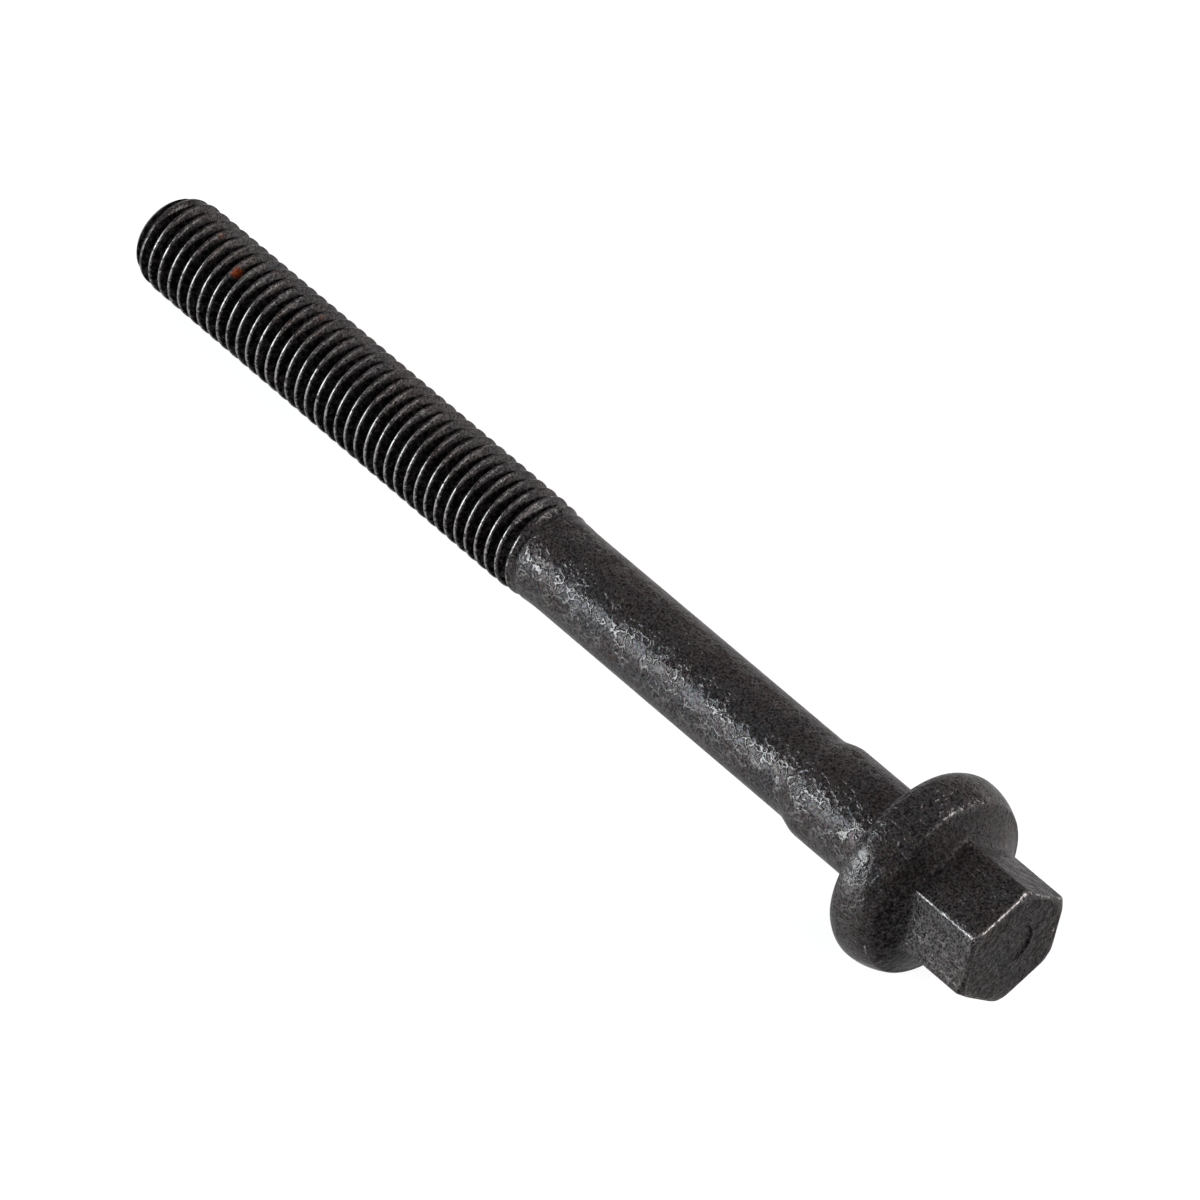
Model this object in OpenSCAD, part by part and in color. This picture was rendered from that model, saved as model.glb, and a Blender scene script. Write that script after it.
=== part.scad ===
// Flange screw: a long hexagon head screw with a thick round flange,
// a guiding collar, a plain shank and a right-hand metric thread.
// It lies as it comes to rest, on the rim of its flange and the crests at its tip,
// with the head towards +X. Stations along the screw are counted from the tip face.

/* [Thread] */
// Outside diameter over the crests
thread_d = 11.9; // [11.6:0.05:12]
// Pitch of the single start
thread_pitch = 1.75; // [1.5:0.05:2]
// Length from the tip face to the last full turn
thread_l = 63.6; // [50:0.1:72]
// Length over which the turns run out into the shank
runout_l = 7.9; // [4:0.1:9]
// Angle of the thread's start round the screw
thread_turn = 172; // [0:1:359]
// Diameter of the flat tip face
tip_d = 8.8; // [7:0.1:9.4]
// Length of the rounded tip, up to the first full crest
tip_l = 7; // [4:0.5:10]

/* [Shank] */
// Diameter of the plain shank
shank_d = 10.85; // [10.4:0.05:11]
// Diameter of the collar under the flange
collar_d = 12.2; // [11.8:0.05:13]
// Length of the collar
collar_l = 12.7; // [8:0.1:20]
// Length of the swelling from the shank to the collar
swell_l = 3.1; // [1:0.1:6]
// Radius of the fillet between the collar and the flange
neck_r = 0.8; // [0.3:0.1:1.5]
// Length from the tip face to the bearing face of the flange
under_head_l = 128; // [110:0.5:160]

/* [Flange] */
// Largest diameter of the flange
flange_d = 24.6; // [23.4:0.1:26]
// Diameter of the flat bearing face
bearing_d = 23.1; // [21:0.1:23.3]
// Height of the widest place above the bearing face
belly_h = 2; // [1:0.1:2.5]
// Height of the rim's upper edge above the bearing face
rim_h = 5.5; // [4.5:0.1:6.5]
// Diameter of the rim's upper edge
rim_top_d = 22.8; // [21:0.1:23.3]
// Rise of the sloping top from the rim's edge to the hexagon's corners
slope_h = 1.6; // [0.8:0.1:2.2]

/* [Head] */
// Width of the hexagon across its flats
hex_af = 14; // [13.7:0.1:15]
// Width of the hexagon across its worn corners
hex_ac = 16; // [15.4:0.1:16.1]
// Height from the bearing face to the end of the head
head_h = 17.2; // [13:0.1:20]
// Angle of a corner of the hexagon round the screw
hex_turn = 43; // [0:1:59]
// Diameter of the end face inside its chamfered corners
face_d = 14.7; // [12.5:0.1:15]
// Slope of the chamfer on the corners
chamfer_a = 33; // [20:1:40]
// Diameter of the shallow dish in the end face
dish_d = 5.4; // [3:0.1:8]
// Depth of the dish
dish_h = 0.25; // [0.1:0.05:0.5]
// Distance of the dish from the middle of the end face
dish_off = 0.6; // [0:0.1:1]
// Direction of that distance round the screw
dish_turn = 173; // [0:1:359]

/* [Hidden] */
thread_r = thread_d / 2;
tip_r = tip_d / 2;
shank_r = shank_d / 2;
collar_r = collar_d / 2;
flange_r = flange_d / 2;
bearing_r = bearing_d / 2;
rim_top_r = rim_top_d / 2;
corner_r = hex_ac / 2;
face_r = face_d / 2;
total_l = under_head_l + head_h;
steel = [0.20, 0.19, 0.19];

// Thread section: a flat crest an eighth of the pitch wide, straight flanks
// at 30 degrees to the cross plane and a narrow flat root
crest_half = thread_pitch / 16;
thread_depth = 0.6134 * thread_pitch;
root_r = thread_r - thread_depth;
flank_w = thread_depth * tan(30);
section = [
    [-crest_half, thread_r],
    [crest_half, thread_r],
    [crest_half + flank_w, root_r],
    [thread_pitch - crest_half - flank_w, root_r]
];
side_n = 30;
lead_in = 2;
run_end = thread_l + runout_l;
sunk_r = shank_r - 0.04;
sunk_l = 0.5;
turns = ceil((run_end + sunk_l) / thread_pitch) + lead_in;
row_n = turns * side_n;

// Smooth step from 0 to 1
function ease(x) = let (k = max(0, min(1, x))) k * k * (3 - 2 * k);

// Radius of the rounded tip, steep at the tip face and easing into the crests
function tip_limit(s) = let (k = max(0, min(1, s / tip_l)))
    thread_r - (thread_r - tip_r) * pow(1 - k, 5);

// Radius of a point of the section at a station along the screw
function turned_r(r, s) = let (w = ease((s - thread_l) / runout_l))
    min(r * (1 - w) + sunk_r * w, tip_limit(s));

// Point of the thread's skin, for a row along the helix and a place in the section
function skin(row, place) = let (
    a = row * 360 / side_n,
    s = (row / side_n - lead_in) * thread_pitch + section[place][0],
    r = turned_r(section[place][1], s)
) [r * cos(a), r * sin(a), s];

// Number of the point, where the place after the last is the next turn's first
function skin_no(row, place) = place < len(section)
    ? row * len(section) + place
    : (row + side_n) * len(section);

// Outline of the unthreaded body, as [station, radius] pairs for the lathe
swell_end = under_head_l - collar_l;
swell_start = swell_end - swell_l;
swell_n = 8;
swell = [for (i = [0:swell_n])
    [shank_r + (collar_r - shank_r) * ease(i / swell_n), swell_start + swell_l * i / swell_n]];
neck_n = 5;
neck = [for (i = [0:neck_n]) let (a = 90 * i / neck_n)
    [collar_r + neck_r * (1 - cos(a)), under_head_l - neck_r + neck_r * sin(a)]];

// The rim swells out to its belly and draws in again to its upper edge
rim_n = 6;
lower_rim = [for (i = [0:rim_n]) let (k = i / rim_n)
    [flange_r - (flange_r - bearing_r) * (1 - k) * (1 - k), under_head_l + belly_h * k]];
upper_rim = [for (i = [1:rim_n]) let (k = i / rim_n)
    [flange_r - (flange_r - rim_top_r) * k * k, under_head_l + belly_h + (rim_h - belly_h) * k]];
edge_h = 0.35;
edge_w = 0.5;
slope = [
    [rim_top_r - edge_w, under_head_l + rim_h + edge_h],
    [corner_r, under_head_l + rim_h + slope_h]
];
// The slope goes on inside the hexagon, to meet its flats too
slope_k = (rim_top_r - edge_w - corner_r) / (slope_h - edge_h);
inner_r = hex_af / 2 - 1;
slope_in = [[inner_r, under_head_l + rim_h + slope_h + (corner_r - inner_r) / slope_k]];

chamfer_h = (corner_r - face_r) * tan(chamfer_a);

// Place of rest: the floor touches the flange's belly and the crests about halfway up the tip
touch_s = 0.54 * tip_l;
rest_a = atan((flange_r - tip_limit(touch_s)) / (under_head_l + belly_h - touch_s));
rest_z = flange_r * cos(rest_a) - (under_head_l + belly_h) * sin(rest_a);
rest_x = -(total_l * cos(rest_a) + (face_r - tip_r) * sin(rest_a)) / 2;

// Whole threaded stretch, from its helical skin and two end caps
module thread() {
    rows = row_n + side_n;
    points = [for (row = [0:rows]) for (place = [0:len(section) - 1]) skin(row, place)];
    first_hub = len(points);
    last_hub = first_hub + 1;
    hubs = [[0, 0, (0.5 - lead_in) * thread_pitch], [0, 0, (turns + 0.5 - lead_in) * thread_pitch]];
    sides = [for (row = [0:row_n - 1]) for (place = [0:len(section) - 1])
        each [
            [skin_no(row, place), skin_no(row, place + 1), skin_no(row + 1, place + 1)],
            [skin_no(row, place), skin_no(row + 1, place + 1), skin_no(row + 1, place)]
        ]];
    first_rim = [
        for (row = [0:side_n]) skin_no(row, 0),
        for (place = [len(section) - 1:-1:1]) skin_no(0, place)
    ];
    last_rim = [
        for (row = [row_n:row_n + side_n]) skin_no(row, 0),
        for (place = [len(section) - 1:-1:1]) skin_no(row_n, place)
    ];
    first_cap = [for (i = [0:len(first_rim) - 1])
        [first_hub, first_rim[i], first_rim[(i + 1) % len(first_rim)]]];
    last_cap = [for (i = [0:len(last_rim) - 1])
        [last_hub, last_rim[(i + 1) % len(last_rim)], last_rim[i]]];
    difference() {
        polyhedron(concat(points, hubs), concat(sides, first_cap, last_cap), convexity = 10);
        translate([0, 0, -3 * lead_in * thread_pitch])
            cylinder(h = 3 * lead_in * thread_pitch, r = 2 * thread_r);
    }
}

// Shank, collar and flange, turned in one
module turned_body() {
    rotate_extrude($fn = 96)
        polygon(concat(
            [[0, run_end], [shank_r, run_end]],
            swell,
            neck,
            lower_rim,
            upper_rim,
            slope,
            slope_in,
            [[0, under_head_l + rim_h + slope_h]]
        ));
}

// Hexagon with its corners turned down and chamfered, and the dish in its end face
module hexagon() {
    base = under_head_l + rim_h - 1;
    difference() {
        intersection() {
            translate([0, 0, base])
                rotate([0, 0, hex_turn])
                    cylinder(h = total_l - base, r = hex_af / 2 / cos(30), $fn = 6);
            rotate_extrude($fn = 96)
                polygon([
                    [0, base - 1],
                    [corner_r, base - 1],
                    [corner_r, total_l - chamfer_h],
                    [face_r, total_l],
                    [0, total_l]
                ]);
        }
        rotate([0, 0, dish_turn])
            translate([dish_off, 0, total_l - dish_h])
                cylinder(h = 2 * dish_h, r1 = dish_d / 2 - dish_h, r2 = dish_d / 2 + dish_h, $fn = 48);
    }
}

// Forged and rolled in one piece, lying on its flange and its tip
module screw() {
    color(steel)
        translate([rest_x, 0, rest_z])
            rotate([0, 90 - rest_a, 0])
                union() {
                    rotate([0, 0, thread_turn])
                        thread();
                    turned_body();
                    hexagon();
                }
}

screw();
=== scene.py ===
"""A flange screw lying on a white floor: one forged and rolled piece of dark, worn steel."""
import functools
import math

import bpy
import numpy as np
from mathutils import Matrix, Vector


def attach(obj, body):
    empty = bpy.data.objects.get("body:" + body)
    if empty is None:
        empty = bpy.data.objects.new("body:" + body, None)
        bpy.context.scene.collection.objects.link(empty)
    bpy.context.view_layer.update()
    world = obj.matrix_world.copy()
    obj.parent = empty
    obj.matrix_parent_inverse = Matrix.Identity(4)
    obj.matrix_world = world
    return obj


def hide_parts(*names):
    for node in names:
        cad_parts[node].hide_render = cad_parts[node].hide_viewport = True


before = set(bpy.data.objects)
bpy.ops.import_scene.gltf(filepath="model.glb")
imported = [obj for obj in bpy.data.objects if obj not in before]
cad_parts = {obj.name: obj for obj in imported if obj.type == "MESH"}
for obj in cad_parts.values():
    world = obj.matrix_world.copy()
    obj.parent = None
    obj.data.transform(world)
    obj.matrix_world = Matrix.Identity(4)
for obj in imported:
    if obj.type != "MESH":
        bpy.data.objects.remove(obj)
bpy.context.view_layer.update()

# Sizes of the screw in millimetres, with stations counted from the tip face
MM = 0.001
PITCH = 1.75
THREAD_R = 5.95
THREAD_DEPTH = 0.6134 * PITCH
THREAD_L = 63.6
RUNOUT_L = 7.9
ROOT_OUT_L = 6.2
THREAD_TURN = math.radians(172)
TIP_R = 4.4
TIP_L = 7.0
SHANK_R = 5.425
COLLAR_R = 6.1
COLLAR_L = 12.7
SWELL_L = 3.1
NECK_R = 0.8
UNDER_HEAD_L = 128.0
FLANGE_R = 12.3
BEARING_R = 11.55
BELLY_H = 2.0
RIM_H = 5.5
RIM_TOP_R = 11.4
RIM_EDGE = (0.5, 0.35)
SLOPE_H = 1.6
HEX_AF = 14.0
HEX_CORNER_R = (0.5, 0.15, 1.1, 0.55, 0.25, 0.5)
HEX_TURN = math.radians(43.3)
FOOT_R = 8.0
FOOT_FILLET = 0.8
HEAD_H = 17.2
FACE_R = 7.35
FLAT_R = 6.6
CHAMFER = math.radians(33)
EDGE_R = 0.4
DISH_R = 2.7
DISH_H = 0.25
DISH_OFF = 0.6
DISH_TURN = math.radians(173)
DISH_DEEP = math.radians(80)
DISH_MEAN = 0.55
TOTAL_L = UNDER_HEAD_L + HEAD_H

# Wear of the crests and the rim's upper edge, on either side of the screw, whose difference between the
# two sides is painted highlight and shade that follows the lamps, then wear of each corner of the hexagon
# and of the end's edge after it
CREST_WEAR_AND_HIGHLIGHT = (0.2, 0.8)
RIM_WEAR_AND_HIGHLIGHT = (0.35, 0.1)
SIDE_TURN = math.radians(283)
CORNER_WEAR = (0.3, 0.2, 0.1, 0.95, 0.2, 0.3)
END_WEAR = (0.3, 0.6, 0.8, 0.05, 0.2, 0.2)

# Painted shade, which darkens the coat to near black where shade falls and where the steel's
# reflection is dark: the height in the thread where it begins and how much lies above that, on either
# side of the screw, then how much lies on the end face, a dark line along one of its edges, the
# hexagon's sides and their feet, on the flange's top with its sway round the screw, and high on the rim
# with the angle where most lies, and low on the rim with its own angle
THREAD_PAINTED_SHADE = (0.37, 0.95)
CREST_PAINTED_SHADE = (0.25, 0.0)
END_PAINTED_SHADE = 0.8
EDGE_DARK_LINE = (0.0, 0.0, 0.0, 0.55, 0.0, 0.0)
SIDE_PAINTED_SHADE = (0.2, 0.82, 0.28, 0.0, 0.2, 0.2)
FOOT_PAINTED_SHADE = (0.5, 0.5, 0.5, 0.0, 0.9, 0.5)
SLOPE_PAINTED_SHADE = (0.6, 0.34)
RIM_PAINTED_SHADE = 0.5
PAINTED_SHADE_TURN = math.radians(245)
LOW_PAINTED_SHADE = 0.4
LOW_TURN = math.radians(305)

# Share of the coat's bumps that shows under the painted shade on the flange's top
SLOPE_RELIEF = 0.35


def around(values, angle):
    """A value at an angle round the screw, going over from the first to the second on one side."""
    return values[0] + (values[1] - values[0]) * ease(0.5 + math.cos(angle - SIDE_TURN))


def towards(angle, middle):
    """1 at an angle that lies in the middle, falling to 0 a quarter of a turn from it."""
    return max(0.0, math.cos(angle - middle))


def tip_limit(s):
    """Radius of the rounded tip."""
    k = min(1.0, s / TIP_L)
    return THREAD_R - (THREAD_R - TIP_R) * (1 - k) ** 5


# The screw lies on its flange's belly and on the crests at its tip
TOUCH_S = 0.54 * TIP_L
REST = math.atan((FLANGE_R - tip_limit(TOUCH_S)) / (UNDER_HEAD_L + BELLY_H - TOUCH_S))
REST_X = -(TOTAL_L * math.cos(REST) + (FACE_R - TIP_R) * math.sin(REST)) / 2
REST_Z = FLANGE_R * math.cos(REST) - (UNDER_HEAD_L + BELLY_H) * math.sin(REST)
LIE = Matrix.Translation((REST_X * MM, 0, REST_Z * MM)) @ Matrix.Rotation(math.pi / 2 - REST, 4, "Y")

# Steps round the screw, and the rows of one pitch as steps of a turn from the crest's middle
AROUND = 120
STEPS = THREAD_TURN + np.arange(AROUND) * 2 * math.pi / AROUND
ROWS = [0, 4, 8, 13, 18, 45, 53, 60, 67, 75, 102, 107, 112, 116]

# Length over which two surfaces blend, and a distance at which a worn edge no longer shows
BLEND_L = 0.12
FAR = 5.0


def ease(x):
    """Smooth step from 0 to 1."""
    k = min(1.0, max(0.0, x))
    return k * k * (3 - 2 * k)


def soft_min(a, b, width):
    """The smaller of two values, with the change between them rounded."""
    h = min(1.0, max(0.0, 0.5 + 0.5 * (b - a) / width))
    return b * (1 - h) + a * h - width * h * (1 - h)


@functools.lru_cache(maxsize=None)
def thread_height(turn):
    """Height of the thread's section, from 0 in the root to 1 on the crest, with both rounded."""
    crest_half = PITCH / 16
    flank_w = THREAD_DEPTH * math.tan(math.radians(30))
    taps = [-0.06, -0.04, -0.02, 0.0, 0.02, 0.04, 0.06]
    total = 0.0
    for tap in taps:
        off = abs((turn * PITCH + tap + PITCH / 2) % PITCH - PITCH / 2)
        total += min(1.0, max(0.0, (crest_half + flank_w - off) / flank_w))
    return total / len(taps)


def thread_radius(s, turn):
    """Radius of the threaded stretch at a station, and at a share of the pitch from the crest."""
    crest = THREAD_R - (THREAD_R - SHANK_R) * ease((s - THREAD_L) / RUNOUT_L)
    depth = THREAD_DEPTH * (1 - ease((s - THREAD_L) / ROOT_OUT_L))
    return soft_min(crest - depth * (1 - thread_height(turn)), tip_limit(s), BLEND_L)


class Skin:
    """Points and faces of the screw in its own axes, with what the steel needs at each point.

    edge is the distance to the nearest worn edge and wear says how worn that edge is, though on the
    crests and the rim its difference from side to side is painted highlight. The painted shade value
    darkens the coat to near black in creases, grooves and faces that shade or a dark reflection would
    darken, depth rises from 0 to 1 where that painted shade sets in on the flanks of the thread, and
    relief is the share of the coat's bumps.
    """

    def __init__(self):
        self.points = []
        self.faces = []
        self.values = {"edge": [], "wear": [], "painted_shade": [], "depth": [], "relief": []}

    def add(self, x, y, z, edge=FAR, wear=0.0, painted_shade=0.0, depth=-1.0, relief=1.0):
        self.points.append((x, y, z))
        for name, value in zip(self.values, (edge, wear, painted_shade, depth, relief)):
            self.values[name].append(value)
        return len(self.points) - 1

    def ring(self, radii, stations, angles, edges=FAR, wears=0.0, painted_shades=0.0, reliefs=1.0, shift=(0, 0)):
        """A ring of points, joined to nothing yet. Each value is one for all or a list."""
        columns = [radii, stations, angles, edges, wears, painted_shades, reliefs]
        columns = [column if hasattr(column, "__len__") else [column] * AROUND for column in columns]
        numbers = []
        for r, s, a, edge, wear, painted_shade, relief in zip(*columns):
            x = r * math.cos(a) + shift[0]
            y = r * math.sin(a) + shift[1]
            numbers.append(self.add(x, y, s, edge, wear, painted_shade, relief=relief))
        return numbers

    def join(self, low, high):
        """Faces between two rings, the second further along the screw's skin."""
        for i in range(AROUND):
            j = (i + 1) % AROUND
            self.faces.append((low[i], low[j], high[j], high[i]))

    def close(self, ring, x, y, z, towards_head):
        """A fan of faces from a small ring to its middle."""
        hub = self.add(x, y, z)
        for i in range(AROUND):
            j = (i + 1) % AROUND
            self.faces.append((ring[i], ring[j], hub) if towards_head else (ring[j], ring[i], hub))


def thread(skin):
    """The threaded stretch as a grid that follows the helix, cut square at both ends."""
    per_turn = len(ROWS)
    end_turn = math.ceil((THREAD_L + RUNOUT_L) / PITCH)
    made = {}

    def point(row, step):
        if step == AROUND:
            row, step = row + per_turn, 0
        offset = ROWS[row % per_turn]
        steps = (row // per_turn - 1) * AROUND + offset + step
        turn = offset / AROUND
        key = (row, step)
        if steps <= 0:
            key, turn, steps = ("tip", step), -step / AROUND, 0
        elif steps >= end_turn * AROUND:
            key, turn, steps = ("end", step), 0.5, end_turn * AROUND
        if key not in made:
            s = steps * PITCH / AROUND
            r = thread_radius(s, turn)
            fade = 1 - ease((s - THREAD_L) / ROOT_OUT_L)
            edge = abs((turn + 0.5) % 1 - 0.5) * PITCH
            a = STEPS[step]
            # Bare steel on the crests as wear, its difference from side to side painted highlight; painted
            # shade in the groove, starting higher on one side
            wear = around(CREST_WEAR_AND_HIGHLIGHT, a) * fade * ease((s - 0.6) / 2.5)
            depth = 5 * (around(THREAD_PAINTED_SHADE, a) - thread_height(turn)) * fade - (1 - fade)
            painted_shade = around(CREST_PAINTED_SHADE, a) * fade
            relief = 1 - 0.75 * fade
            made[key] = skin.add(r * math.cos(a), r * math.sin(a), s, edge, wear, painted_shade, depth, relief)
        return made[key]

    for row in range((end_turn + 1) * per_turn):
        for step in range(AROUND):
            corners = []
            for i, j in ((0, 0), (0, 1), (1, 1), (1, 0)):
                number = point(row + i, step + j)
                if number not in corners:
                    corners.append(number)
            if len(corners) > 2:
                skin.faces.append(tuple(corners))
    first, last = ([made[name, i] for i in range(AROUND)] for name in ("tip", "end"))
    return first, last, end_turn * PITCH


def filled(line, step):
    """The line of (radius, station) points with its long stretches cut into steps."""
    out = [line[0]]
    for p, q in zip(line, line[1:]):
        parts = max(1, math.ceil(math.dist(p, q) / step - 1e-6))
        for k in range(1, parts + 1):
            out.append((p[0] + (q[0] - p[0]) * k / parts, p[1] + (q[1] - p[1]) * k / parts))
    return out


def body(skin, ring, start):
    """Shank, collar and the flange up to its rim's upper edge."""
    bearing = UNDER_HEAD_L
    swell_end = bearing - COLLAR_L
    line = [(SHANK_R, start), (SHANK_R, swell_end - SWELL_L)]
    for k in np.linspace(0, 1, 9)[1:]:
        line.append((SHANK_R + (COLLAR_R - SHANK_R) * ease(k), swell_end - SWELL_L * (1 - k)))
    for a in np.linspace(0, math.pi / 2, 6):
        line.append((COLLAR_R + NECK_R * (1 - math.cos(a)), bearing - NECK_R * (1 - math.sin(a))))
    for k in np.linspace(0, 1, 9):
        line.append((FLANGE_R - (FLANGE_R - BEARING_R) * (1 - k) ** 2, bearing + BELLY_H * k))
    for k in np.linspace(0, 1, 7)[1:]:
        line.append((FLANGE_R - (FLANGE_R - RIM_TOP_R) * k * k, bearing + BELLY_H + (RIM_H - BELLY_H) * k))
    rim_wear_and_highlight = [around(RIM_WEAR_AND_HIGHLIGHT, a) for a in STEPS]
    for r, s in filled(line, 0.75)[1:]:
        edge = math.dist((r, s), (RIM_TOP_R, bearing + RIM_H))
        wear = rim_wear_and_highlight if r > RIM_TOP_R - 0.01 else 0.0
        painted_shades = 0.0
        # Painted shade on the rim: low on it at one angle, and rising towards its upper edge at another
        if s > bearing:
            upper = RIM_PAINTED_SHADE * ease((s - bearing - RIM_H) / 1.6 + 1)
            painted_shades = [LOW_PAINTED_SHADE * towards(a, LOW_TURN) ** 2 + upper * towards(a, PAINTED_SHADE_TURN) for a in STEPS]
        new = skin.ring(r, s, STEPS, edge, wear, painted_shades)
        skin.join(ring, new)
        ring = new
    return ring


def hex_side(angle):
    """Radius of the rounded hexagon, the distance from the nearest corner, and the corner's number."""
    sector = math.pi / 3
    number = math.floor((angle - HEX_TURN) / sector + 0.5)
    off = abs(angle - HEX_TURN - number * sector)
    corner_r = HEX_CORNER_R[number % 6]
    point_r = HEX_AF / 2 / math.cos(sector / 2)
    hub = point_r - corner_r / math.cos(sector / 2)
    tangent = math.atan2(corner_r * math.sin(sector / 2), hub + corner_r * math.cos(sector / 2))
    if off < tangent:
        side = hub * math.sin(off)
        r = hub * math.cos(off) + math.sqrt(corner_r ** 2 - side ** 2)
    else:
        r = HEX_AF / 2 / math.cos(sector / 2 - off)
    return r, r * math.sin(off), number % 6


def hex_angles():
    """Angles round the hexagon with more of them in its corners, the first nearest to STEPS[0]."""
    sector = math.pi / 3
    per_side = AROUND // 6
    first = HEX_TURN + sector / 2 + sector * round((STEPS[0] - HEX_TURN) / sector - 0.5)
    out = []
    for step in range(AROUND):
        k = (step % per_side) / per_side - 0.5
        bent = k * (0.15 + 0.85 * (2 * abs(k)) ** 0.9)
        out.append(first + (step // per_side + 0.5 + bent) * sector)
    return out


def end_height(r):
    """Station of the head's end at a radius: flat in the middle, chamfered outside FACE_R."""
    x = r - FACE_R
    return TOTAL_L - 0.5 * (x + math.hypot(x, BLEND_L)) * math.tan(CHAMFER)


def head(skin, ring):
    """Sloping top of the flange, the hexagon and its end face with the dish."""
    base = UNDER_HEAD_L + RIM_H
    angles = hex_angles()
    sides = [hex_side(a) for a in angles]
    sectors = [math.floor((a - HEX_TURN) / (math.pi / 3)) % 6 for a in angles]
    end_wears = [END_WEAR[sector] for sector in sectors]
    slope = (RIM_TOP_R - RIM_EDGE[0] - FOOT_R) / (SLOPE_H - RIM_EDGE[1])
    edge_in = (RIM_TOP_R - RIM_EDGE[0], base + RIM_EDGE[1])

    def add(*columns, **others):
        nonlocal ring
        new = skin.ring(*columns, **others)
        skin.join(ring, new)
        ring = new

    # Rounded upper edge of the rim
    for k in (0.2, 0.4, 0.6, 0.8, 1.0):
        bend = 0.1 * math.sin(math.pi * k)
        r = RIM_TOP_R + (edge_in[0] - RIM_TOP_R) * k + bend * 0.6
        s = base + (edge_in[1] - base) * k + bend * 0.8
        # Painted shade over the rim's upper edge, most at one angle
        outer = [0.2 + 0.3 * towards(a, PAINTED_SHADE_TURN) for a in STEPS]
        inner = [0.5 + 0.3 * math.cos(a - PAINTED_SHADE_TURN) for a in STEPS]
        painted_shades = [low * (1 - k) + high * k for low, high in zip(outer, inner)]
        add(r, s, STEPS, 0.6 * k, [around(RIM_WEAR_AND_HIGHLIGHT, a) for a in STEPS], painted_shades)

    # Slope, turning from even steps to those of the hexagon, up to a fillet at its foot
    feet = [base + SLOPE_H + (FOOT_R - r) / slope for r, _, _ in sides]
    for k in (0.2, 0.4, 0.6, 0.8, 1.0):
        turned = [a * k + b * (1 - k) for a, b in zip(angles, STEPS)]
        ends = [(r + FOOT_FILLET, foot - FOOT_FILLET / slope) for (r, _, _), foot in zip(sides, feet)]
        radii = [edge_in[0] + (r - edge_in[0]) * k for r, _ in ends]
        stations = [edge_in[1] + (s - edge_in[1]) * k for _, s in ends]
        # Painted shade on the flange's top, swaying round the screw
        painted_shades = [SLOPE_PAINTED_SHADE[0] + SLOPE_PAINTED_SHADE[1] * math.cos(a - PAINTED_SHADE_TURN) for a in turned]
        add(radii, stations, turned, painted_shades=painted_shades, reliefs=SLOPE_RELIEF)
    corner_edges = [off for _, off, _ in sides]
    corner_wears = [CORNER_WEAR[number] for _, _, number in sides]
    foot_painted_shades = [FOOT_PAINTED_SHADE[sector] for sector in sectors]
    for k in (0.25, 0.5, 0.75, 1.0):
        radii = [r + FOOT_FILLET * (1 - k) ** 2 for r, _, _ in sides]
        stations = [foot + FOOT_FILLET * (k * k - (1 - k) ** 2 / slope) for foot in feet]
        edges = corner_edges if k > 0.6 else FAR
        wears = [0.5 * wear for wear in corner_wears] if k > 0.6 else 0.0
        # Painted shade rising into the crease at the hexagon's foot
        new_painted_shades = [painted_shade + (foot - painted_shade) * k ** 3 for painted_shade, foot in zip(painted_shades, foot_painted_shades)]
        relief = SLOPE_RELIEF + (1 - SLOPE_RELIEF) * k * k
        add(radii, stations, angles, edges, wears, new_painted_shades, relief)

    # Sides, whose corners carry the worn edges
    side_tops = [end_height(r) - EDGE_R for r, _, _ in sides]
    for k in np.linspace(0, 1, 14)[1:]:
        stations = [(foot + FOOT_FILLET) * (1 - k) + top * k for foot, top in zip(feet, side_tops)]
        gaps = [top + EDGE_R * 0.7 - s for top, s in zip(side_tops, stations)]
        edges = [min(pair) for pair in zip(gaps, corner_edges)]
        wears = [wear * (0.6 + 0.4 * k) for wear in corner_wears]
        wears = [e if g < c else w for g, c, e, w in zip(gaps, corner_edges, end_wears, wears)]
        # Painted shade on each side of the hexagon, more on some sides than others, rising towards its
        # foot
        painted_shades = [SIDE_PAINTED_SHADE[n] + (FOOT_PAINTED_SHADE[n] - SIDE_PAINTED_SHADE[n]) * (1 - k) ** 3 for n in sectors]
        add([r for r, _, _ in sides], stations, angles, edges, wears, painted_shades)

    # Rounded and chamfered edge of the end face
    # A dark line along one edge of the end, carried with the painted shade
    edge_dark_lines = [EDGE_DARK_LINE[sector] for sector in sectors]
    for a in np.radians((15, 30, 45, 60, 75, 90)):
        radii = [r - EDGE_R * (1 - math.cos(a)) for r, _, _ in sides]
        stations = [end_height(r) - EDGE_R * (1 - math.sin(a)) for r in radii]
        add(radii, stations, angles, EDGE_R * abs(a - math.radians(40)), end_wears, edge_dark_lines)
    # Painted shade over the end face, growing in across its chamfer
    for k in (0.25, 0.5, 0.75, 1.0):
        radii = [(r - EDGE_R) * (1 - k) + FLAT_R * k for r, _, _ in sides]
        edges = [EDGE_R * 0.87 + (r - EDGE_R - FLAT_R) * k for r, _, _ in sides]
        add(radii, [end_height(r) for r in radii], angles, edges, end_wears, END_PAINTED_SHADE * k)

    # End face and its dish, which is off the middle
    off_x = DISH_OFF * math.cos(DISH_TURN)
    off_y = DISH_OFF * math.sin(DISH_TURN)
    for r in (6.2, 5.3, 4.4, 3.6, DISH_R + 0.12, DISH_R):
        share = min(1.0, (FLAT_R - r) / 3.0)
        add(r, TOTAL_L, angles, painted_shades=END_PAINTED_SHADE, shift=(off_x * share, off_y * share))
    bowl = ((DISH_R - 0.06, 0.5), (DISH_R - 0.14, 0.9), (DISH_R - 0.3, 1.0), (1.3, 1.0), (0.4, 1.0))
    for r, share in bowl:
        deeps = [DISH_MEAN + 0.6 * r / DISH_R * math.cos(a - DISH_DEEP) for a in angles]
        stations = [TOTAL_L - DISH_H * share * deep for deep in deeps]
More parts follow.
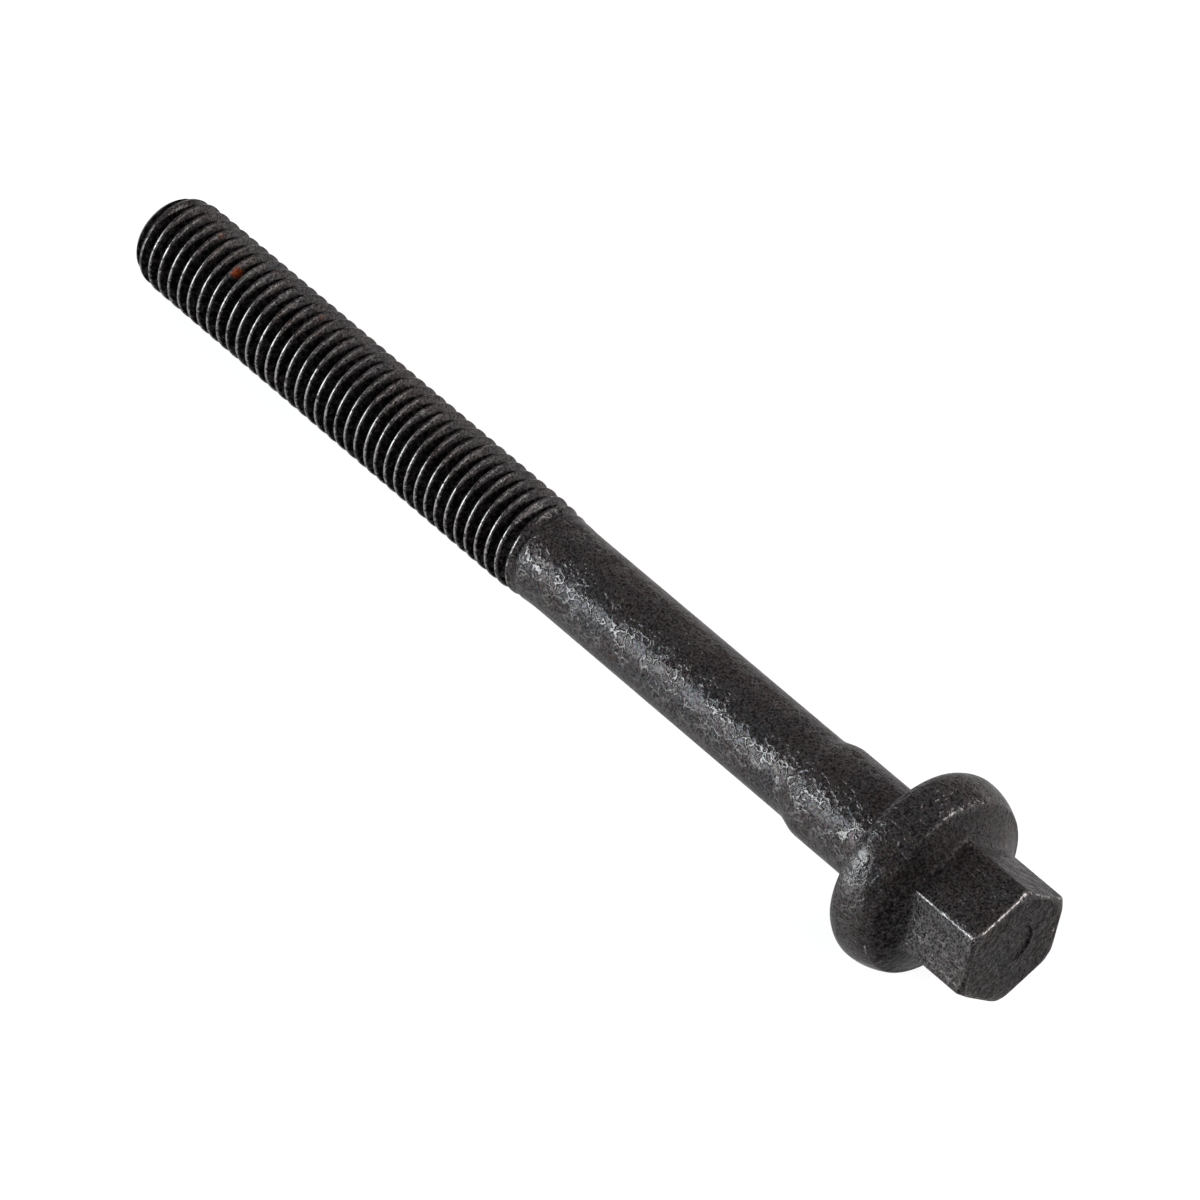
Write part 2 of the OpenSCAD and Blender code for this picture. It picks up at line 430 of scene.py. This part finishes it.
        # The dish's deeper wall gets more painted shade
        dark = 0.25 if share < 1 else 0.0
        painted_shades = [END_PAINTED_SHADE + dark * max(0.0, deep - DISH_MEAN) for deep in deeps]
        add(r, stations, angles, painted_shades=painted_shades, shift=(off_x, off_y))
    skin.close(ring, off_x, off_y, TOTAL_L - DISH_H * DISH_MEAN, True)


def tip(skin, ring):
    """Flat tip face."""
    for r in (4.2, 3.0, 1.6, 0.5):
        new = skin.ring(r, 0.0, STEPS)
        skin.join(new, ring)
        ring = new
    skin.close(ring, 0, 0, 0, False)


def screw_mesh():
    """The whole screw as one closed mesh, laid at its place of rest."""
    skin = Skin()
    first, last, end = thread(skin)
    tip(skin, first)
    head(skin, body(skin, last, end))
    mesh = bpy.data.meshes.new("screw_body")
    mesh.from_pydata([Vector(p) * MM for p in skin.points], [], skin.faces)
    for name, values in skin.values.items():
        layer = mesh.attributes.new(name, "FLOAT", "POINT")
        layer.data.foreach_set("value", values)
    place = mesh.attributes.new("place", "FLOAT_VECTOR", "POINT")
    place.data.foreach_set("vector", np.array(skin.points, float).ravel())
    mesh.transform(LIE)
    mesh.validate()
    mesh.shade_smooth()
    return mesh


class Graph:
    """Short calls for the nodes of one material."""

    def __init__(self, name):
        self.material = bpy.data.materials.new(name)
        self.material.use_nodes = True
        self.tree = self.material.node_tree
        self.shader = self.tree.nodes["Principled BSDF"]

    def link(self, value, socket):
        if hasattr(value, "is_linked"):
            self.tree.links.new(value, socket)
        else:
            socket.default_value = value

    def attribute(self, name, output="Fac"):
        node = self.tree.nodes.new("ShaderNodeAttribute")
        node.attribute_name = name
        return node.outputs[output]

    def math(self, operation, *values, clamp=False):
        node = self.tree.nodes.new("ShaderNodeMath")
        node.operation = operation
        node.use_clamp = clamp
        for value, socket in zip(values, node.inputs):
            self.link(value, socket)
        return node.outputs[0]

    def noise(self, place, scale, detail=2.0, rough=0.5):
        node = self.tree.nodes.new("ShaderNodeTexNoise")
        self.link(place, node.inputs["Vector"])
        node.inputs["Scale"].default_value = scale
        node.inputs["Detail"].default_value = detail
        node.inputs["Roughness"].default_value = rough
        return node.outputs["Fac"]

    def cell_walls(self, place, scale, bend):
        """Distance to the walls of uneven cells, bent by noise."""
        noise = self.noise(place, scale * 1.7, 1.0).node
        shift = self.tree.nodes.new("ShaderNodeVectorMath")
        shift.operation = "MULTIPLY_ADD"
        self.link(noise.outputs["Color"], shift.inputs[0])
        shift.inputs[1].default_value = (bend, bend, bend)
        self.link(place, shift.inputs[2])
        cells = self.tree.nodes.new("ShaderNodeTexVoronoi")
        cells.feature = "DISTANCE_TO_EDGE"
        self.link(shift.outputs[0], cells.inputs["Vector"])
        cells.inputs["Scale"].default_value = scale
        return cells.outputs["Distance"]

    def step(self, value, low, high, start=0.0, end=1.0):
        """Smooth step of the value between low and high."""
        node = self.tree.nodes.new("ShaderNodeMapRange")
        node.interpolation_type = "SMOOTHSTEP"
        names = ("Value", "From Min", "From Max", "To Min", "To Max")
        for item, name in zip((value, low, high, start, end), names):
            self.link(item, node.inputs[name])
        return node.outputs["Result"]

    def mix(self, share, a, b, blend="MIX"):
        node = self.tree.nodes.new("ShaderNodeMix")
        node.data_type = "RGBA"
        node.blend_type = blend
        self.link(share, node.inputs["Factor"])
        for value, number in ((a, 6), (b, 7)):
            self.link(value if hasattr(value, "is_linked") else (*value, 1.0), node.inputs[number])
        return node.outputs[2]

    def distance(self, place, point, wobble):
        """Distance from a point, made uneven."""
        node = self.tree.nodes.new("ShaderNodeVectorMath")
        node.operation = "DISTANCE"
        self.link(place, node.inputs[0])
        node.inputs[1].default_value = point
        return self.math("ADD", node.outputs["Value"], wobble)

    def spots(self, place, points, wobble):
        """A mask that is up to each point's own share inside its radius."""
        mask = 0.0
        for point, radius, share in points:
            spot = self.step(self.distance(place, point, wobble), radius * 0.5, radius, share, 0.0)
            mask = self.math("MAXIMUM", mask, spot)
        return mask


def on_skin(radius, degrees, station):
    """A point given round the screw's axis, in its own axes in millimetres."""
    a = math.radians(degrees)
    return (radius * math.cos(a), radius * math.sin(a), station)


# Points with a radius and a strength: rust, and knocks that show bright steel, the last no knock but a
# broad painted highlight over one side of the hexagon
RUST = (
    (on_skin(5.6, 189.5, 14.76), 0.95, 1.0),
    (on_skin(5.6, 166.5, 8.85), 0.55, 0.25),
    (on_skin(5.6, 157.4, 17.17), 0.5, 0.3),
    (on_skin(5.6, 162.6, 26.66), 0.55, 0.2),
)
KNOCKS_AND_HIGHLIGHT = (
    (on_skin(8.0, 223.3, 144.4), 0.9, 0.9),
    (on_skin(7.9, 223.3, 142.6), 0.45, 0.8),
    (on_skin(7.05, 205.4, 140.6), 0.3, 0.6),
    (on_skin(7.05, 205.0, 140.2), 0.3, 0.6),
    (on_skin(7.3, 221.8, 137.9), 0.25, 0.8),
    (on_skin(11.9, 216.7, 134.5), 0.28, 0.8),
    (on_skin(11.9, 254.8, 135.0), 0.28, 0.8),
    (on_skin(6.1, 74.4, 145.2), 0.25, 0.9),
    # Painted highlight: a faint patch of bright steel that lightens one side of the hexagon
    (on_skin(7.0, 253.3, 139.5), 6.5, 0.14),
)
DENT = (on_skin(12.1, 225, 129.6), on_skin(12.1, 238, 130.0))


def dark_steel():
    """Dark phosphate coat over forging scale, worn to bright steel on the edges and the crests, with
    painted shade and painted highlight laid into its colour.
    """
    g = Graph("dark_steel")
    place = g.attribute("place", "Vector")
    edge = g.attribute("edge")
    wear = g.attribute("wear")

    broad = g.noise(place, 0.2, 2.0)
    mottle = g.noise(place, 0.9, 5.0, 0.6)
    grain = g.noise(place, 3.5, 4.0, 0.65)
    # Painted shade from the attribute and from the thread's depth, made uneven by noise
    painted_shade = g.math("MAXIMUM", g.attribute("painted_shade"), g.step(g.attribute("depth"), 0.0, 1.0, 0.0, 1.1))
    painted_shade = g.math("MULTIPLY", painted_shade, g.step(g.noise(place, 1.6, 4.0, 0.7), 0.35, 0.6, 0.7, 1.15))
    wobble = g.math("SUBTRACT", g.noise(place, 2.4, 3.0, 0.6), 0.5)

    # Thin raised curls like those of forging scale, in patches, and one round the dent in the rim
    walls = g.step(g.cell_walls(place, 0.85, 0.9), 0.0, 0.2, 1.0, 0.0)
    curls = g.math("MULTIPLY", walls, g.step(g.noise(place, 0.45, 2.0), 0.4, 0.55))
    dent = g.math("MINIMUM", *(g.distance(place, point, wobble) for point in DENT))
    rim = g.math("ABSOLUTE", g.math("SUBTRACT", dent, 1.8))
    curls = g.math("MAXIMUM", curls, g.step(rim, 0.0, 0.24, 1.6, 0.0))

    # Coat: a warm and a cool dark grey in broad patches, mottled
    coat = g.mix(g.step(broad, 0.4, 0.6), (0.104, 0.083, 0.078), (0.08, 0.083, 0.088))
    coat = g.mix(g.step(mottle, 0.3, 0.7), coat, (0.115, 0.103, 0.102))
    coat = g.mix(0.45, coat, g.noise(place, 2.2, 3.0, 0.6).node.outputs["Color"], "OVERLAY")
    coat = g.mix(g.step(grain, 0.5, 0.42), coat, (0.026, 0.022, 0.023))
    coat = g.mix(g.math("MULTIPLY", g.step(grain, 0.53, 0.6), 0.35), coat, (0.26, 0.25, 0.25))
    ridges = g.math("SUBTRACT", g.step(curls, 0.5, 1.0), g.math("MULTIPLY", painted_shade, 2.0), clamp=True)
    ridges = g.math("MAXIMUM", ridges, g.step(dent, 0.9, 1.5, 0.6, 0.0))
    coat = g.mix(g.math("MULTIPLY", ridges, 0.5), coat, (0.36, 0.35, 0.34))
    # Painted shade turns the coat near black
    coat = g.mix(g.math("MULTIPLY", painted_shade, 0.8, clamp=True), coat, (0.004, 0.0035, 0.0035))

    # Bright steel along worn edges, wider where they are worn more, and at knocks, and a faint painted
    # highlight over one side of the hexagon
    width = g.math("MULTIPLY_ADD", wear, -0.8, 1.4)
    uneven = g.math("MULTIPLY_ADD", wobble, 0.5, g.math("MULTIPLY", edge, width))
    line = g.step(uneven, 0.03, 0.15, 1.0, 0.0)
    chips = g.math("MULTIPLY_ADD", wear, 0.3, g.noise(place, 1.3, 3.0, 0.6))
    bare = g.math("MULTIPLY", line, g.step(chips, 0.6, 0.7))
    knocks_and_highlight = g.math("MULTIPLY", g.spots(place, KNOCKS_AND_HIGHLIGHT, wobble), g.step(grain, 0.46, 0.56))
    bare = g.math("MAXIMUM", bare, knocks_and_highlight, clamp=True)
    colour = g.mix(bare, coat, (0.52, 0.5, 0.49))

    # Rust: one spot in the thread and a few faint ones
    rust = g.spots(place, RUST, g.math("MULTIPLY", wobble, 1.2))
    rust_colour = g.mix(g.step(grain, 0.4, 0.6), (0.12, 0.018, 0.008), (0.42, 0.085, 0.025))
    colour = g.mix(rust, colour, rust_colour)
    g.link(colour, g.shader.inputs["Base Color"])

    metal = g.math("MULTIPLY_ADD", g.math("MAXIMUM", bare, ridges), 0.5, 0.5)
    # Painted shade also takes metal and shine from the coat and roughens it
    metal = g.math("MULTIPLY_ADD", painted_shade, -0.5, metal)
    g.link(g.math("SUBTRACT", metal, rust, clamp=True), g.shader.inputs["Metallic"])
    rough = g.step(mottle, 0.4, 0.6, 0.15, 0.28)
    rough = g.math("MULTIPLY_ADD", bare, 0.12, g.math("ADD", rough, g.step(painted_shade, 0.9, 1.4, 0.0, 0.2)))
    g.link(rough, g.shader.inputs["Roughness"])
    g.link(g.math("MULTIPLY_ADD", painted_shade, -0.5, 0.5, clamp=True), g.shader.inputs["Specular IOR Level"])
    g.shader.inputs["Specular Tint"].default_value = (0.6, 0.6, 0.6, 1)

    # Relief: the curls, soft bumps and grain, less in the thread, on the flange's top and on bare edges
    height = g.math("MULTIPLY_ADD", g.noise(place, 1.0, 2.0), 0.5, g.math("MULTIPLY", curls, 0.42))
    height = g.math("MULTIPLY_ADD", grain, 0.07, height)
    bump = g.tree.nodes.new("ShaderNodeBump")
    bump.inputs["Distance"].default_value = 0.16 * MM
    g.link(g.math("MULTIPLY_ADD", line, -0.4, g.attribute("relief"), clamp=True), bump.inputs["Strength"])
    g.link(height, bump.inputs["Height"])
    g.link(bump.outputs["Normal"], g.shader.inputs["Normal"])
    return g.material


screw = bpy.data.objects.new("screw_body", screw_mesh())
bpy.context.collection.objects.link(screw)
screw.data.materials.append(dark_steel())
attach(screw, "root")
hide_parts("screw")


def white_floor():
    """A white floor that stays white to the camera and in the steel, and keeps a soft shadow."""
    mesh = bpy.data.meshes.new("floor")
    half = 4
    corners = [(-half, -half, 0), (half, -half, 0), (half, half, 0), (-half, half, 0)]
    mesh.from_pydata(corners, [], [(0, 1, 2, 3)])
    floor = bpy.data.objects.new("floor", mesh)
    bpy.context.collection.objects.link(floor)
    g = Graph("white_floor")
    g.shader.inputs["Base Color"].default_value = (0.8, 0.8, 0.8, 1)
    g.shader.inputs["Roughness"].default_value = 0.9
    path = g.tree.nodes.new("ShaderNodeLightPath")
    camera_ray, glossy_ray = path.outputs["Is Camera Ray"], path.outputs["Is Glossy Ray"]
    glow = g.tree.nodes.new("ShaderNodeEmission")
    strength = g.math("MULTIPLY_ADD", glossy_ray, 0.27, g.math("MULTIPLY", camera_ray, 0.8))
    g.link(strength, glow.inputs["Strength"])
    both = g.tree.nodes.new("ShaderNodeAddShader")
    links = g.tree.links
    links.new(g.shader.outputs[0], both.inputs[0])
    links.new(glow.outputs[0], both.inputs[1])
    links.new(both.outputs[0], g.tree.nodes["Material Output"].inputs["Surface"])
    mesh.materials.append(g.material)


white_floor()

# Camera: the angle and the weak perspective of the photograph
AZIMUTH = math.radians(48.8)
ELEVATION = math.radians(51.5)
DISTANCE = 1.2046
LENS = 320.7
AIM_STATION = 71.3
AIM_RIGHT = 3.45
AIM_DOWN = 3.05
right = Vector((math.cos(AZIMUTH), math.sin(AZIMUTH), 0))
back = Vector((
    math.sin(AZIMUTH) * math.cos(ELEVATION),
    -math.cos(AZIMUTH) * math.cos(ELEVATION),
    math.sin(ELEVATION),
))
up = back.cross(right)
aim = LIE @ Vector((0, 0, AIM_STATION * MM)) + right * AIM_RIGHT * MM - up * AIM_DOWN * MM
camera_data = bpy.data.cameras.new("camera")
camera_data.lens = LENS
camera_data.clip_start = 0.01
camera = bpy.data.objects.new("camera", camera_data)
bpy.context.collection.objects.link(camera)
camera.matrix_world = Matrix((right, up, back)).transposed().to_4x4()
camera.location = aim + back * DISTANCE
bpy.context.scene.camera = camera


def softbox(name, direction, distance, size, brightness, colour):
    """A rectangular lamp that faces the screw, as bright as the given colour value."""
    light = bpy.data.lights.new(name, "AREA")
    light.shape = "RECTANGLE"
    light.size, light.size_y = size
    light.energy = brightness * math.pi * size[0] * size[1]
    light.color = colour
    lamp = bpy.data.objects.new(name, light)
    bpy.context.collection.objects.link(lamp)
    lamp.location = Vector(direction).normalized() * distance
    lamp.rotation_euler = Vector(direction).to_track_quat("Z", "Y").to_euler()


softbox("left_box", (-0.53, -0.75, 0.43), 0.8, (0.75, 0.34), 3.2, (0.91, 1.0, 1.05))
softbox("low_box", (-0.53, -0.75, 0.12), 0.8, (0.9, 0.24), 1.3, (0.95, 1.0, 1.05))
softbox("right_box", (0.7, 0.5, 0.46), 1.0, (1.1, 0.8), 2.15, (1.0, 0.97, 0.96))
softbox("back_box", (-0.45, 0.8, 0.4), 1.0, (1.2, 0.5), 0.15, (1.0, 0.95, 0.98))

world = bpy.data.worlds.new("world")
bpy.context.scene.world = world
world.use_nodes = True
world.node_tree.nodes["Background"].inputs["Color"].default_value = (0.128, 0.115, 0.117, 1)
bpy.context.scene.view_settings.view_transform = "Standard"
